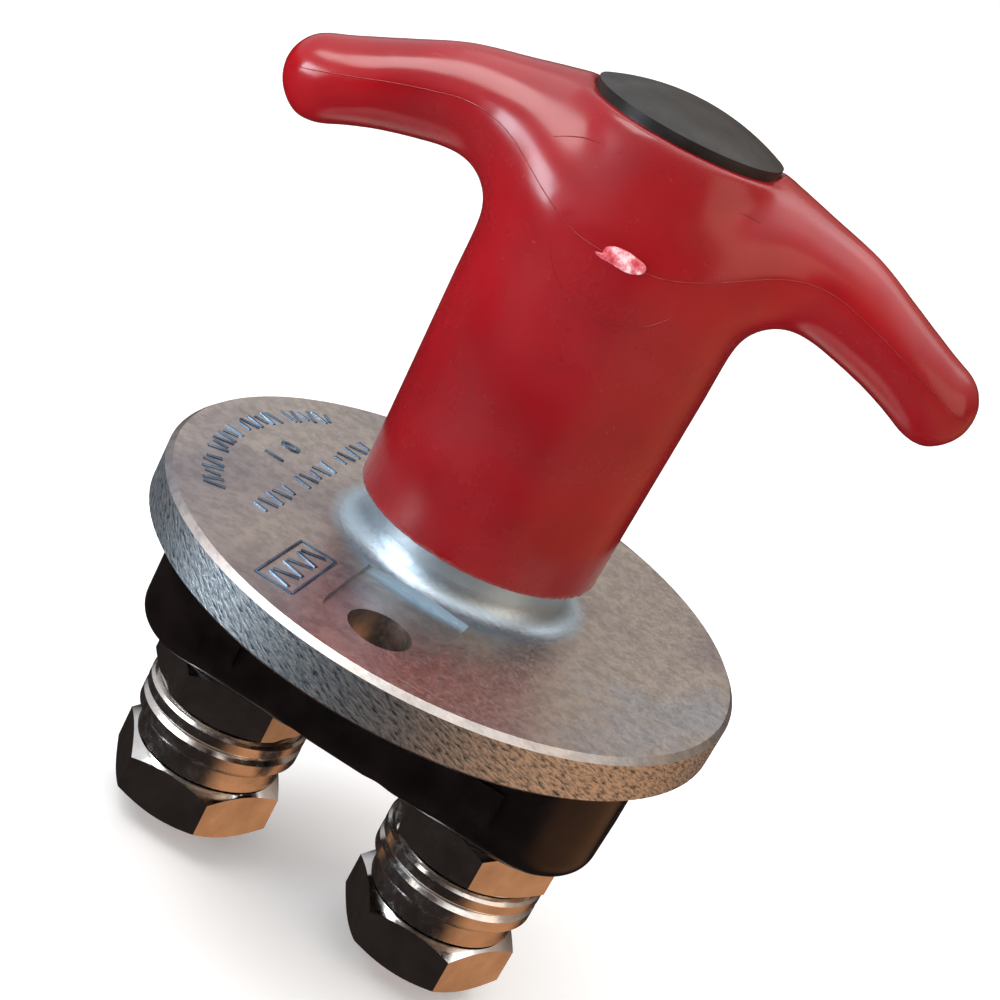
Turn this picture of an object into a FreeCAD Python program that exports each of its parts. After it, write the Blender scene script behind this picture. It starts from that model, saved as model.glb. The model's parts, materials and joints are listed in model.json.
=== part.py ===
import FreeCAD, Part
import os

import Sketcher

# Battery master switch: a round panel flange with a T-handle above it and an insulating
# housing with two terminal studs below it.  +Z points up the spindle, +X runs along the
# row of terminals, and the origin is the centre of the flange's underside.  Drawn switched on.

DIMENSIONS = {
    # flange and its boss
    "flange_dia": 64.0,
    "flange_thick": 5.1,
    "flange_bevel": 0.6,
    "boss_dia": 22.0,
    "boss_height": 12.0,
    "boss_fillet": 2.5,
    "mount_pitch": 44.4,
    "mount_hole_dia": 6.6,
    "spotface_width": 11.6,
    "spotface_depth": 0.5,
    "spotface_reach": 28.4,
    "well_dia": 16.4,
    "well_depth": 9.0,
    # housing and gasket
    "housing_long": 54.5,
    "housing_wide": 26.0,
    "housing_depth": 16.0,
    "housing_corner": 8.5,
    "housing_edge": 3.0,
    "housing_wall": 2.5,
    "housing_floor": 3.0,
    "seat_depth": 1.5,
    "gasket_thick": 1.0,
    "pad_width": 3.6,
    "pad_height": 4.3,
    "pad_proud": 0.5,
    "pad_drop": 7.9,
    "stud_boss_height": 0.4,
    # screws that hold the housing to the flange
    "screw_dia": 3.0,
    "screw_head_dia": 4.8,
    "screw_recess": 0.9,
    "screw_head_height": 2.0,
    "screw_x": 5.0,
    "screw_y": 9.6,
    "pillar_dia": 5.8,
    # terminals
    "stud_pitch": 30.5,
    "stud_dia": 10.0,
    "stud_length": 24.6,
    "stud_point": 1.2,
    "stud_head_size": 13.0,
    "stud_head_height": 4.0,
    "tip_dia": 6.0,
    "tip_thick": 1.0,
    "nut_flats": 17.0,
    "nut_height": 5.9,
    "inner_nut_height": 5.4,
    "inner_nut_turn": 13.0,
    "seal_dia": 18.0,
    "seal_thick": 0.6,
    "lock_dia": 16.6,
    "lock_thick": 2.6,
    "washer_dia": 18.6,
    "upper_washer_thick": 1.7,
    "washer_thick": 2.5,
    "washer_gap": 0.15,
    # spindle and its bush
    "spindle_dia": 10.0,
    "spindle_fit": 0.05,
    "bush_dia": 13.0,
    "tail_dia": 8.0,
    "collar_dia": 11.8,
    "collar_low": 6.7,
    "collar_thick": 1.5,
    "thrust_thick": 0.6,
    "square_size": 7.0,
    "square_top": 41.5,
    "ring_groove_low": 13.4,
    "ring_groove_wide": 2.0,
    "ring_section": 1.3,
    "cross_pin_dia": 2.3,
    "cross_pin_low": 0.5,
    # rising contact carrier
    "lift": 3.0,
    "hub_dia": 12.0,
    "hub_top": 3.3,
    "carrier_long": 28.0,
    "carrier_wide": 12.8,
    "carrier_thick": 2.0,
    "bridge_long": 40.0,
    "bridge_wide": 10.0,
    "bridge_thick": 2.0,
    "rivet_dia": 2.0,
    "rivet_head_dia": 3.4,
    "rivet_head": 0.8,
    "rivet_inset": 4.85,
    "spring_dia": 14.0,
    "spring_wire": 1.3,
    "spring_turns": 4.5,
    # T-handle
    "grip_angle": 8.8,
    "skirt_low": 9.7,
    "skirt_low_dia": 26.4,
    "skirt_top_dia": 28.0,
    "skirt_bore": 23.4,
    "running_gap": 0.3,
    "shoulder_height": 43.0,
    "crown_height": 54.8,
    "crown_dia": 22.0,
    "arm_end_reach": 33.0,
    "arm_end_height": 43.1,
    "arm_end_radius": 4.5,
    "web_top": 46.0,
    "web_thick": 4.0,
    "cap_bore": 15.0,
    "handle_screw_dia": 5.0,
    "handle_screw_length": 16.0,
    "handle_screw_head": 8.5,
    "handle_screw_head_height": 3.0,
    "handle_washer_dia": 12.0,
    "handle_washer_thick": 1.2,
    "cap_dia": 19.4,
    "cap_edge": 1.0,
    "cap_height": 3.0,
    "cap_plug": 14.6,
    "cap_plug_long": 3.0,
}

doc = FreeCAD.newDocument("battery_switch")
sheet = doc.addObject("Spreadsheet::Sheet", "dims")
for row, (alias, value) in enumerate(DIMENSIONS.items(), start=1):
    sheet.set(f"A{row}", alias)
    sheet.set(f"B{row}", str(value))
    sheet.setAlias(f"B{row}", alias)
doc.recompute()


def d(text):
    """An expression with every alias in it read from the spreadsheet."""
    words = []
    word = ""
    for letter in str(text) + " ":
        if letter.isalnum() or letter in "_.":
            word += letter
            continue
        words.append(f"dims.{word}" if word in DIMENSIONS else word)
        words.append(letter)
        word = ""
    return "".join(words).strip()


# Levels along the spindle that several pieces share
BOSS_TOP = "(flange_thick + boss_height)"
RIM_TOP = "(seat_depth - gasket_thick)"
HOUSING_LOW = "(0 - housing_depth)"
FLOOR_TOP = "(housing_floor - housing_depth)"
HEAD_TOP = f"({FLOOR_TOP} - 1 + stud_head_height)"
SHANK_TOP = f"({FLOOR_TOP} - 1)"
FIXED_TIP_TOP = f"({HEAD_TOP} + tip_thick)"
BRIDGE_LOW = f"({FIXED_TIP_TOP} + tip_thick)"
CARRIER_LOW = f"({BRIDGE_LOW} + bridge_thick)"
CARRIER_TOP = f"({CARRIER_LOW} + carrier_thick)"
COLLAR_TOP = "(collar_low + collar_thick)"
STUD_BOSS_LOW = f"({HOUSING_LOW} - stud_boss_height)"
SEAL_LOW = f"({STUD_BOSS_LOW} - seal_thick)"
INNER_NUT_LOW = f"({SEAL_LOW} - inner_nut_height)"
UPPER_WASHER_LOW = f"({INNER_NUT_LOW} - washer_gap - upper_washer_thick)"
LOWER_WASHER_LOW = f"({UPPER_WASHER_LOW} - washer_gap - washer_thick)"
LOCK_LOW = f"({LOWER_WASHER_LOW} - washer_gap - lock_thick)"
OUTER_NUT_LOW = f"({LOCK_LOW} - washer_gap - nut_height)"
HANDLE_WEB_LOW = f"({BOSS_TOP} + running_gap)"
RIVET_REACH = "(stud_pitch / 2 - rivet_inset)"


def body(label):
    part = doc.addObject("PartDesign::Body", label)
    part.Label = label
    return part


def plane(part, role):
    return next(item for item in part.Origin.OriginFeatures if item.Role == role)


def sketch(part, name, role="XY_Plane", offset="0"):
    """A sketch on one of the body's own planes, lifted off it by an expression."""
    drawn = part.newObject("Sketcher::SketchObject", f"{part.Name}_{name}")
    drawn.AttachmentSupport = [(plane(part, role), "")]
    drawn.MapMode = "FlatFace"
    drawn.setExpression(".AttachmentOffset.Base.z", d(offset))
    return drawn


def bind(drawn, kind, geometry, text, *points):
    index = drawn.addConstraint(Sketcher.Constraint(kind, *geometry, *points))
    drawn.setExpression(f"Constraints[{index}]", d(text))


def circle(drawn, radius, x="0", y="0"):
    """A circle whose radius and centre follow expressions."""
    size = measure(radius)
    centre = FreeCAD.Vector(measure(x), measure(y), 0)
    item = drawn.addGeometry(Part.Circle(centre, FreeCAD.Vector(0, 0, 1), size), False)
    bind(drawn, "Radius", (item, size), radius)
    bind(drawn, "DistanceX", (-1, 1, item, 3, centre.x), x)
    bind(drawn, "DistanceY", (-1, 1, item, 3, centre.y), y)
    return item


def measure(text):
    """The present value of an expression over the spreadsheet's cells."""
    value = sheet.evalExpression(d(text))
    return float(getattr(value, "Value", value))


def outline(drawn, points):
    """A closed outline of straight lines whose corners follow expressions."""
    corners = [FreeCAD.Vector(measure(x), measure(y), 0) for x, y in points]
    count = len(corners)
    first = drawn.GeometryCount
    for index in range(count):
        line = Part.LineSegment(corners[index], corners[(index + 1) % count])
        drawn.addGeometry(line, False)
    for index, (x, y) in enumerate(points):
        after = first + index
        before = first + (index - 1) % count
        drawn.addConstraint(Sketcher.Constraint("Coincident", before, 2, after, 1))
        bind(drawn, "DistanceX", (-1, 1, after, 1, corners[index].x), x)
        bind(drawn, "DistanceY", (-1, 1, after, 1, corners[index].y), y)


def box_outline(drawn, x_size, y_size, x="0", y="0"):
    low_x, high_x = f"{x} - ({x_size}) / 2", f"{x} + ({x_size}) / 2"
    low_y, high_y = f"{y} - ({y_size}) / 2", f"{y} + ({y_size}) / 2"
    outline(drawn, [(low_x, low_y), (high_x, low_y), (high_x, high_y), (low_x, high_y)])


def pad(part, drawn, length):
    made = part.newObject("PartDesign::Pad", f"{drawn.Name}_pad")
    made.Profile = drawn
    made.setExpression("Length", d(length))
    part.Tip = made
    return made


def pocket(part, drawn, depth=None, upward=True):
    """A cut that runs up from the sketch, down from it, or both ways through everything."""
    made = part.newObject("PartDesign::Pocket", f"{drawn.Name}_cut")
    made.Profile = drawn
    if depth is None:
        made.Type = "ThroughAll"
        made.Midplane = True
    else:
        made.setExpression("Length", d(depth))
        made.Reversed = upward
    part.Tip = made
    return made


def turn(part, points, name="profile", cut=False):
    """A turned ring or shaft: an outline of (radius, height) spun about an upright axis."""
    drawn = sketch(part, name, "XZ_Plane")
    outline(drawn, points)
    kind = "PartDesign::Groove" if cut else "PartDesign::Revolution"
    made = part.newObject(kind, f"{drawn.Name}_turned")
    made.Profile = drawn
    made.ReferenceAxis = (plane(part, "Z_Axis"), [""])
    made.Angle = 360
    part.Tip = made
    return made


def edges_where(feature, test):
    """Names of the edges of a feature whose bounding boxes pass a test."""
    doc.recompute()
    return [
        f"Edge{number}"
        for number, edge in enumerate(feature.Shape.Edges, start=1)
        if test(edge)
    ]


def fillet(part, feature, test, radius, kind="Fillet"):
    made = part.newObject(f"PartDesign::{kind}", f"{feature.Name}_{kind.lower()}")
    made.Base = (feature, edges_where(feature, test))
    made.setExpression("Radius" if kind == "Fillet" else "Size", d(radius))
    part.Tip = made
    return made


def place(part, x="0", turned="0"):
    """Move a finished body along the row of terminals and turn it about its own upright axis."""
    part.Placement = FreeCAD.Placement(FreeCAD.Vector(), FreeCAD.Vector(0, 0, 1), 1)
    part.setExpression(".Placement.Rotation.Angle", d(turned))
    part.setExpression(".Placement.Base.x", d(x))


def near(value, target, slack=0.01):
    return abs(value - target) < slack


def is_upright(edge):
    box = edge.BoundBox
    return box.ZLength > 0.1 and box.XLength < 0.001 and box.YLength < 0.001


def is_level_at(edge, height):
    box = edge.BoundBox
    return near(box.ZMin, height) and near(box.ZMax, height)


# ---------------------------------------------------------------- fixed pieces


def flange_plate():
    part = body("flange_plate")
    top = turn(
        part,
        [
            ("0", "0"),
            ("flange_dia / 2 - flange_bevel / 2", "0"),
            ("flange_dia / 2", "flange_bevel / 2"),
            ("flange_dia / 2", "flange_thick - flange_bevel"),
            ("flange_dia / 2 - flange_bevel", "flange_thick"),
            ("boss_dia / 2", "flange_thick"),
            ("boss_dia / 2", BOSS_TOP + " - 0.5"),
            ("boss_dia / 2 - 0.5", BOSS_TOP),
            ("0", BOSS_TOP),
        ],
    )
    root = measure("boss_dia / 2")
    thick = measure("flange_thick")
    fillet(
        part,
        top,
        lambda edge: is_level_at(edge, thick) and near(edge.BoundBox.XMax, root),
        "boss_fillet",
    )
    well = sketch(part, "well")
    circle(well, "well_dia / 2")
    pocket(part, well, "well_depth")
    bore = sketch(part, "bush_bore")
    circle(bore, "bush_dia / 2")
    pocket(part, bore, BOSS_TOP + " + 1")
    seat = sketch(part, "seat")
    box_outline(seat, "housing_long + 0.6", "housing_wide + 0.6")
    recess = pocket(part, seat, "seat_depth")
    seat_end = measure("housing_long / 2 + 0.3")
    fillet(
        part,
        recess,
        lambda edge: is_upright(edge) and near(abs(edge.BoundBox.XMax), seat_end),
        "housing_corner + 0.3",
    )
    mounts = sketch(part, "mounts")
    for side in ("", "0 - "):
        circle(mounts, "mount_hole_dia / 2", "0", f"{side}mount_pitch / 2")
    pocket(part, mounts)
    # Screw seats facing the two mounting holes: parallel sides, a round outer end
    for side, name in ((-1, "front"), (1, "back")):
        spot = sketch(part, f"spotface_{name}", "XY_Plane", "flange_thick - spotface_depth")
        middle = f"{side} * (spotface_reach - spotface_width / 2)"
        circle(spot, "spotface_width / 2", "0", middle)
        pocket(part, spot, "spotface_depth + 1")
        strip = sketch(part, f"strip_{name}", "XY_Plane", "flange_thick - spotface_depth")
        inner = "(boss_dia / 2 + boss_fillet / 2)"
        length = f"spotface_reach - spotface_width / 2 - {inner}"
        box_outline(strip, "spotface_width", length, "0", f"({middle} + {side} * {inner}) / 2")
        pocket(part, strip, "spotface_depth + 1")
    holes = sketch(part, "screw_holes")
    for x in ("screw_x", "0 - screw_x"):
        for y in ("screw_y", "0 - screw_y"):
            circle(holes, "screw_dia / 2 + 0.02", x, y)
    pocket(part, holes, "flange_thick - 0.6")
    return part


def spindle_bush():
    part = body("spindle_bush")
    bore = "spindle_dia / 2 + spindle_fit"
    turn(
        part,
        [
            (bore, "well_depth"),
            ("bush_dia / 2", "well_depth"),
            ("bush_dia / 2", BOSS_TOP),
            (bore + " + 0.3", BOSS_TOP),
            (bore, BOSS_TOP + " - 0.3"),
        ],
    )
    return part


def housing_gasket():
    part = body("housing_gasket")
    drawn = sketch(part, "plan", "XY_Plane", RIM_TOP)
    box_outline(drawn, "housing_long", "housing_wide")
    blank = pad(part, drawn, "gasket_thick")
    fillet(part, blank, is_upright, "housing_corner")
    inside = sketch(part, "inside", "XY_Plane", RIM_TOP)
    box_outline(
        inside,
        "housing_long - 2 * housing_wall",
        "2 * (screw_y - pillar_dia / 2)",
    )
    pocket(part, inside, "gasket_thick")
    spring_room = sketch(part, "spring_room", "XY_Plane", RIM_TOP)
    circle(spring_room, "well_dia / 2")
    pocket(part, spring_room, "gasket_thick")
    holes = sketch(part, "screw_holes", "XY_Plane", RIM_TOP)
    for x in ("screw_x", "0 - screw_x"):
        for y in ("screw_y", "0 - screw_y"):
            circle(holes, "screw_dia / 2 + 0.1", x, y)
    pocket(part, holes, "gasket_thick")
    return part


def housing():
    part = body("housing")
    drawn = sketch(part, "plan", "XY_Plane", HOUSING_LOW)
    box_outline(drawn, "housing_long", "housing_wide")
    blank = pad(part, drawn, f"housing_depth + {RIM_TOP}")
    rounded = fillet(part, blank, is_upright, "housing_corner")
    low = measure(HOUSING_LOW)
    fillet(part, rounded, lambda edge: is_level_at(edge, low), "housing_edge")
    bosses = sketch(part, "stud_bosses", "XY_Plane", STUD_BOSS_LOW)
    for x in ("stud_pitch / 2", "0 - stud_pitch / 2"):
        circle(bosses, "seal_dia / 2", x)
    pad(part, bosses, "stud_boss_height + 0.5")
    pads = sketch(part, "wall_pads", "XZ_Plane", "0")
    for x in ("stud_pitch / 2", "0 - stud_pitch / 2"):
        box_outline(pads, "pad_width", "pad_height", x, "0 - pad_drop - pad_height / 2")
    proud = pad(part, pads, "housing_wide / 2 + pad_proud")
    inside = sketch(part, "inside", "XY_Plane", FLOOR_TOP)
    box_outline(
        inside,
        "housing_long - 2 * housing_wall",
        "housing_wide - 2 * housing_wall",
    )
    hollow = pocket(part, inside, f"housing_depth + {RIM_TOP}")
    reach = measure("housing_long / 2 - housing_wall")
    fillet(
        part,
        hollow,
        lambda edge: is_upright(edge) and near(abs(edge.BoundBox.XMax), reach),
        "housing_corner - housing_wall",
    )
    pillars = sketch(part, "pillars", "XY_Plane", f"{FLOOR_TOP} - 0.5")
    heads = sketch(part, "screw_heads", "XY_Plane", HOUSING_LOW)
    holes = sketch(part, "screw_holes", "XY_Plane", HOUSING_LOW)
    for x in ("screw_x", "0 - screw_x"):
        for y in ("screw_y", "0 - screw_y"):
            circle(pillars, "pillar_dia / 2", x, y)
            circle(heads, "screw_head_dia / 2 + 0.2", x, y)
            circle(holes, "screw_dia / 2 + 0.1", x, y)
    pad(part, pillars, f"{RIM_TOP} - {FLOOR_TOP} + 0.5")
    pocket(part, heads, "screw_head_height + screw_recess")
    pocket(part, holes, "housing_depth + 2")
    studs = sketch(part, "stud_holes", "XY_Plane", f"{STUD_BOSS_LOW} - 1")
    sockets = sketch(part, "stud_sockets", "XY_Plane", SHANK_TOP)
    for x in ("stud_pitch / 2", "0 - stud_pitch / 2"):
        circle(studs, "stud_dia / 2 + 0.05", x)
        box_outline(sockets, "stud_head_size + 0.2", "stud_head_size + 0.2", x)
    pocket(part, studs, "housing_floor + stud_boss_height + 2")
    pocket(part, sockets, "2")
    return part


def housing_screws():
    """Four cap screws that pull the housing up against the flange."""
    part = body("housing_screws")
    heads = sketch(part, "heads", "XY_Plane", f"{HOUSING_LOW} + screw_recess")
    shanks = sketch(part, "shanks", "XY_Plane", f"{HOUSING_LOW} + screw_head_height")
    drives = sketch(part, "drives", "XY_Plane", f"{HOUSING_LOW} + screw_recess")
    for x in ("screw_x", "0 - screw_x"):
        for y in ("screw_y", "0 - screw_y"):
            circle(heads, "screw_head_dia / 2", x, y)
            circle(shanks, "screw_dia / 2", x, y)
            box_outline(drives, "screw_head_dia * 0.8", "0.7", x, y)
    pad(part, heads, "screw_head_height")
    pad(part, shanks, "housing_depth - screw_head_height + flange_thick - 0.8")
    pocket(part, drives, "1")
    return part


def terminal_stud(label, side):
    part = body(label)
    head = sketch(part, "head", "XY_Plane", SHANK_TOP)
    box_outline(head, "stud_head_size", "stud_head_size")
    block = pad(part, head, "stud_head_height")
    fillet(part, block, is_upright, "1.5", "Chamfer")
    turn(
        part,
        [
            ("0", f"{SHANK_TOP} + 0.5"),
            ("stud_dia / 2", f"{SHANK_TOP} + 0.5"),
            ("stud_dia / 2", f"{SHANK_TOP} - stud_length + stud_point"),
            ("stud_dia / 2 - 0.9", f"{SHANK_TOP} - stud_length"),
            ("0", f"{SHANK_TOP} - stud_length"),
        ],
        "shank",
    )
    place(part, f"{side} * stud_pitch / 2")
    return part


def fixed_contact_tip(label, side):
    part = body(label)
    drawn = sketch(part, "face", "XY_Plane", HEAD_TOP)
    circle(drawn, "tip_dia / 2")
    pad(part, drawn, "tip_thick")
    place(part, f"{side} * stud_pitch / 2")
    return part


def washer(label, side, low, thick, outer, bore="stud_dia / 2 + 0.15", edge="0.3"):
    """A plain round washer with its outer corners eased."""
    part = body(label)
    turn(
        part,
        [
            (bore, low),
            (f"{outer} - {edge}", low),
            (outer, f"{low} + {edge}"),
            (outer, f"{low} + {thick} - {edge}"),
            (f"{outer} - {edge}", f"{low} + {thick}"),
            (bore, f"{low} + {thick}"),
        ],
    )
    place(part, f"{side} * stud_pitch / 2")
    return part


def spring_washer(label, side):
    part = washer(label, side, LOCK_LOW, "lock_thick", "lock_dia / 2", edge="0.25")
    slit = sketch(part, "slit", "XY_Plane", f"{LOCK_LOW} - 1")
    box_outline(slit, "1", "lock_dia", "0", "lock_dia / 2")
    pocket(part, slit, "lock_thick + 2")
    return part


def hexagon(drawn, flats):
    """A hexagon with two flats square to the sketch's second axis."""
    corner = f"({flats}) / 2 / cos(30)"
    outline(
        drawn,
        [(f"{corner} * cos({60 * step})", f"{corner} * sin({60 * step})") for step in range(6)],
    )


def hex_nut(label, side, low, height, turned="0"):
    part = body(label)
    drawn = sketch(part, "hexagon", "XY_Plane", low)
    hexagon(drawn, "nut_flats")
    pad(part, drawn, height)
    bore = sketch(part, "bore", "XY_Plane", low)
    circle(bore, "stud_dia / 2 + 0.05")
    pocket(part, bore, height)
    corner = "nut_flats / 2 * 1.16"
    flat = "nut_flats / 2 * 0.96"
    drop = f"({corner} - {flat}) * tan(30)"
    top = f"{low} + {height}"
    turn(part, [(flat, low), (corner, low), (corner, f"{low} + {drop}")], "low_bevel", True)
    turn(part, [(flat, top), (corner, top), (corner, f"{top} - {drop}")], "top_bevel", True)
    place(part, f"{side} * stud_pitch / 2", turned=turned)
    return part


# ------------------------------------------------ pieces that turn with the handle


def spindle():
    part = body("spindle")
    journal = "spindle_dia / 2"
    groove_top = "ring_groove_low + ring_groove_wide"
    groove = "spindle_dia / 2 - ring_section"
    turn(
        part,
        [
            ("0", "0 - 2.4"),
            ("tail_dia / 2", "0 - 2.4"),
            ("tail_dia / 2", "collar_low"),
            ("collar_dia / 2", "collar_low"),
            ("collar_dia / 2", COLLAR_TOP),
            (journal, COLLAR_TOP),
            (journal, "ring_groove_low"),
            (groove, "ring_groove_low"),
            (groove, groove_top),
            (journal, groove_top),
            (journal, f"{BOSS_TOP} + 0.1"),
            ("0", f"{BOSS_TOP} + 0.1"),
        ],
    )
    drive = sketch(part, "drive", "XY_Plane", BOSS_TOP)
    box_outline(drive, "square_size", "square_size")
    drive.AttachmentOffset = FreeCAD.Placement(FreeCAD.Vector(), FreeCAD.Vector(0, 0, 1), 1)
    drive.setExpression(".AttachmentOffset.Rotation.Angle", d("grip_angle"))
    pad(part, drive, f"square_top - {BOSS_TOP}")
    tapped = sketch(part, "tapped", "XY_Plane", "square_top - handle_screw_length")
    circle(tapped, "handle_screw_dia / 2 + 0.05")
    pocket(part, tapped, "handle_screw_length + 1")
    cross = sketch(part, "cross_hole", "XZ_Plane")
    circle(cross, "cross_pin_dia / 2 + 0.02", "0", "cross_pin_low")
    pocket(part, cross)
    return part


def drive_pin():
    part = body("drive_pin")
    drawn = sketch(part, "section", "XZ_Plane")
    circle(drawn, "cross_pin_dia / 2", "0", "cross_pin_low")
    pin = pad(part, drawn, "hub_dia - 0.2")
    pin.Midplane = True
    return part


def thrust_washer():
    part = body("thrust_washer")
    low, high = f"{COLLAR_TOP} + 0.1", f"{COLLAR_TOP} + 0.1 + thrust_thick"
    inner, outer = "spindle_dia / 2 + 0.1", "collar_dia / 2"
    turn(part, [(inner, low), (outer, low), (outer, high), (inner, high)])
    return part


def o_ring(label, middle, radius, section):
    """A round-section ring: a circle carried round the spindle's axis."""
    part = body(label)
    drawn = sketch(part, "section", "XZ_Plane")
    circle(drawn, section, radius, middle)
    ring = part.newObject("PartDesign::Revolution", f"{label}_ring")
    ring.Profile = drawn
    ring.ReferenceAxis = (plane(part, "Z_Axis"), [""])
    ring.Angle = 360
    part.Tip = ring
    return part


# Stations along one arm of the grip: distance out, middle height, half height, half width
ARM_STATIONS = [
    ("0", "shoulder_height - 0.4", "13", "13.4"),
    ("7", "shoulder_height + 0.6", "12", "12.4"),
    ("12", "shoulder_height + 3.1", "9.1", "9.4"),
    ("15", "shoulder_height + 4.9", "6.6", "7.3"),
    ("19.5", "shoulder_height + 5.05", "5.35", "5.7"),
    ("26", "shoulder_height + 3.05", "4.85", "5.1"),
    ("arm_end_reach", "arm_end_height", "arm_end_radius * 1.03", "arm_end_radius * 1.04"),
    (
        "(arm_end_reach + arm_end_radius / 2)",
        "arm_end_height - 0.9",
        "arm_end_radius * 0.62",
        "arm_end_radius * 0.64",
    ),
]


def oval(drawn, half_high, half_wide, height):
    """An ellipse wider than it is high, centred on the sketch's second axis."""
    high, wide, middle = measure(half_high), measure(half_wide), measure(height)
    centre = FreeCAD.Vector(0, middle, 0)
    side = FreeCAD.Vector(wide, middle, 0)
    top = FreeCAD.Vector(0, middle + high, 0)
    item = drawn.addGeometry(Part.Ellipse(side, top, centre), False)
    drawn.exposeInternalGeometry(item)
    bind(drawn, "DistanceX", (-1, 1, item, 3, 0.0), "0")
    bind(drawn, "DistanceY", (-1, 1, item, 3, middle), height)
    bind(drawn, "Distance", (item + 1, 2 * wide), f"2 * ({half_wide})")
    bind(drawn, "Distance", (item + 2, 2 * high), f"2 * ({half_high})")
    drawn.addConstraint(Sketcher.Constraint("Horizontal", item + 1))


def t_handle():
    part = body("t_handle")
    column = turn(
        part,
        [
            ("0", "skirt_low"),
            ("skirt_low_dia / 2", "skirt_low"),
            ("skirt_top_dia / 2", "shoulder_height"),
            ("skirt_top_dia / 2", "shoulder_height + 2"),
            ("crown_dia / 2", "crown_height"),
            ("0", "crown_height"),
        ],
        "column",
    )
    shoulder = measure("shoulder_height + 2")
    fillet(part, column, lambda edge: is_level_at(edge, shoulder), "crown_dia / 2 - 3")
    stations = [(f"0 - {station[0]}", *station[1:]) for station in reversed(ARM_STATIONS[1:])]
    sections = []
    for number, (reach, height, half_high, half_wide) in enumerate(stations + ARM_STATIONS):
        drawn = sketch(part, f"section_{number}", "YZ_Plane", reach)
        oval(drawn, half_high, half_wide, height)
        sections.append(drawn)
    loft = part.newObject("PartDesign::AdditiveLoft", "t_handle_grip")
    loft.Profile = sections[0]
    loft.Sections = [(drawn, [""]) for drawn in sections[1:]]
    part.Tip = loft
    for side, name in (("", "right"), ("0 - ", "left")):
        knob = part.newObject("PartDesign::AdditiveSphere", f"t_handle_{name}_end")
        knob.setExpression("Radius", d("arm_end_radius + 0.05"))
        knob.AttachmentSupport = [(plane(part, "XY_Plane"), "")]
        knob.MapMode = "FlatFace"
        knob.setExpression(".AttachmentOffset.Base.x", d(f"{side}arm_end_reach"))
        knob.setExpression(".AttachmentOffset.Base.z", d("arm_end_height"))
        part.Tip = knob
    skirt = sketch(part, "skirt_bore", "XY_Plane", "skirt_low - 1")
    circle(skirt, "skirt_bore / 2")
    pocket(part, skirt, f"{HANDLE_WEB_LOW} - skirt_low + 1")
    socket = sketch(part, "square_socket", "XY_Plane", f"{HANDLE_WEB_LOW} - 1")
    box_outline(socket, "square_size + 0.1", "square_size + 0.1")
    pocket(part, socket, f"web_top - web_thick - {HANDLE_WEB_LOW} + 1")
    hole = sketch(part, "screw_hole", "XY_Plane", "web_top - web_thick - 1")
    circle(hole, "handle_screw_dia / 2 + 0.25")
    pocket(part, hole, "web_thick + 2")
    recess = sketch(part, "cap_bore", "XY_Plane", "web_top")
    circle(recess, "cap_bore / 2")
    pocket(part, recess, "crown_height")
    seat = sketch(part, "cap_seat", "XY_Plane", "crown_height")
    circle(seat, "cap_dia / 2 + 0.15")
    pocket(part, seat, "cap_height + 2")
    place(part, turned="grip_angle")
    return part


def handle_screw():
    part = body("handle_screw")
    under = "(web_top + handle_washer_thick)"
    turn(
        part,
        [
            ("0", f"{under} - handle_screw_length"),
            ("handle_screw_dia / 2 - 0.4", f"{under} - handle_screw_length"),
            ("handle_screw_dia / 2", f"{under} - handle_screw_length + 0.4"),
            ("handle_screw_dia / 2", under),
            ("handle_screw_head / 2", under),
            ("handle_screw_head / 2", f"{under} + handle_screw_head_height - 0.4"),
            ("handle_screw_head / 2 - 0.4", f"{under} + handle_screw_head_height"),
            ("0", f"{under} + handle_screw_head_height"),
        ],
    )
    key = sketch(part, "key", "XY_Plane", f"{under} + handle_screw_head_height / 2")
    hexagon(key, "4")
    pocket(part, key, "handle_screw_head_height")
    return part


def handle_screw_washer():
    part = body("handle_screw_washer")
    drawn = sketch(part, "ring", "XY_Plane", "web_top")
    circle(drawn, "handle_washer_dia / 2")
    circle(drawn, "handle_screw_dia / 2 + 0.2")
    pad(part, drawn, "handle_washer_thick")
    return part


def handle_cap():
    """A low dome cut from a large ball, with a plug below that presses into the handle."""
    rise = "(cap_height - cap_edge)"
    ball_radius = f"((cap_dia / 2) ^ 2 + {rise} ^ 2) / (2 * {rise})"
    ball = doc.addObject("Part::Sphere", "cap_ball")
    ball.setExpression("Radius", d(ball_radius))
    ball.setExpression(".Placement.Base.z", d(f"crown_height + cap_height - {ball_radius}"))
    disc = doc.addObject("Part::Cylinder", "cap_disc")
    disc.setExpression("Radius", d("cap_dia / 2"))
    disc.setExpression("Height", d("cap_height + 1"))
    disc.setExpression(".Placement.Base.z", d("crown_height"))
    dome = doc.addObject("Part::Common", "cap_dome")
    dome.Base, dome.Tool = ball, disc
    plug = doc.addObject("Part::Cylinder", "cap_plug")
    plug.setExpression("Radius", d("cap_plug / 2"))
    plug.setExpression("Height", d("cap_plug_long + 0.5"))
    plug.setExpression(".Placement.Base.z", d("crown_height - cap_plug_long"))
    cap = doc.addObject("Part::Fuse", "handle_cap")
    cap.Base, cap.Tool = dome, plug
    cap.Refine = True
    cap.Label = "handle_cap"
    return cap


# ------------------------------------------------ pieces that rise to break contact


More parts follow.
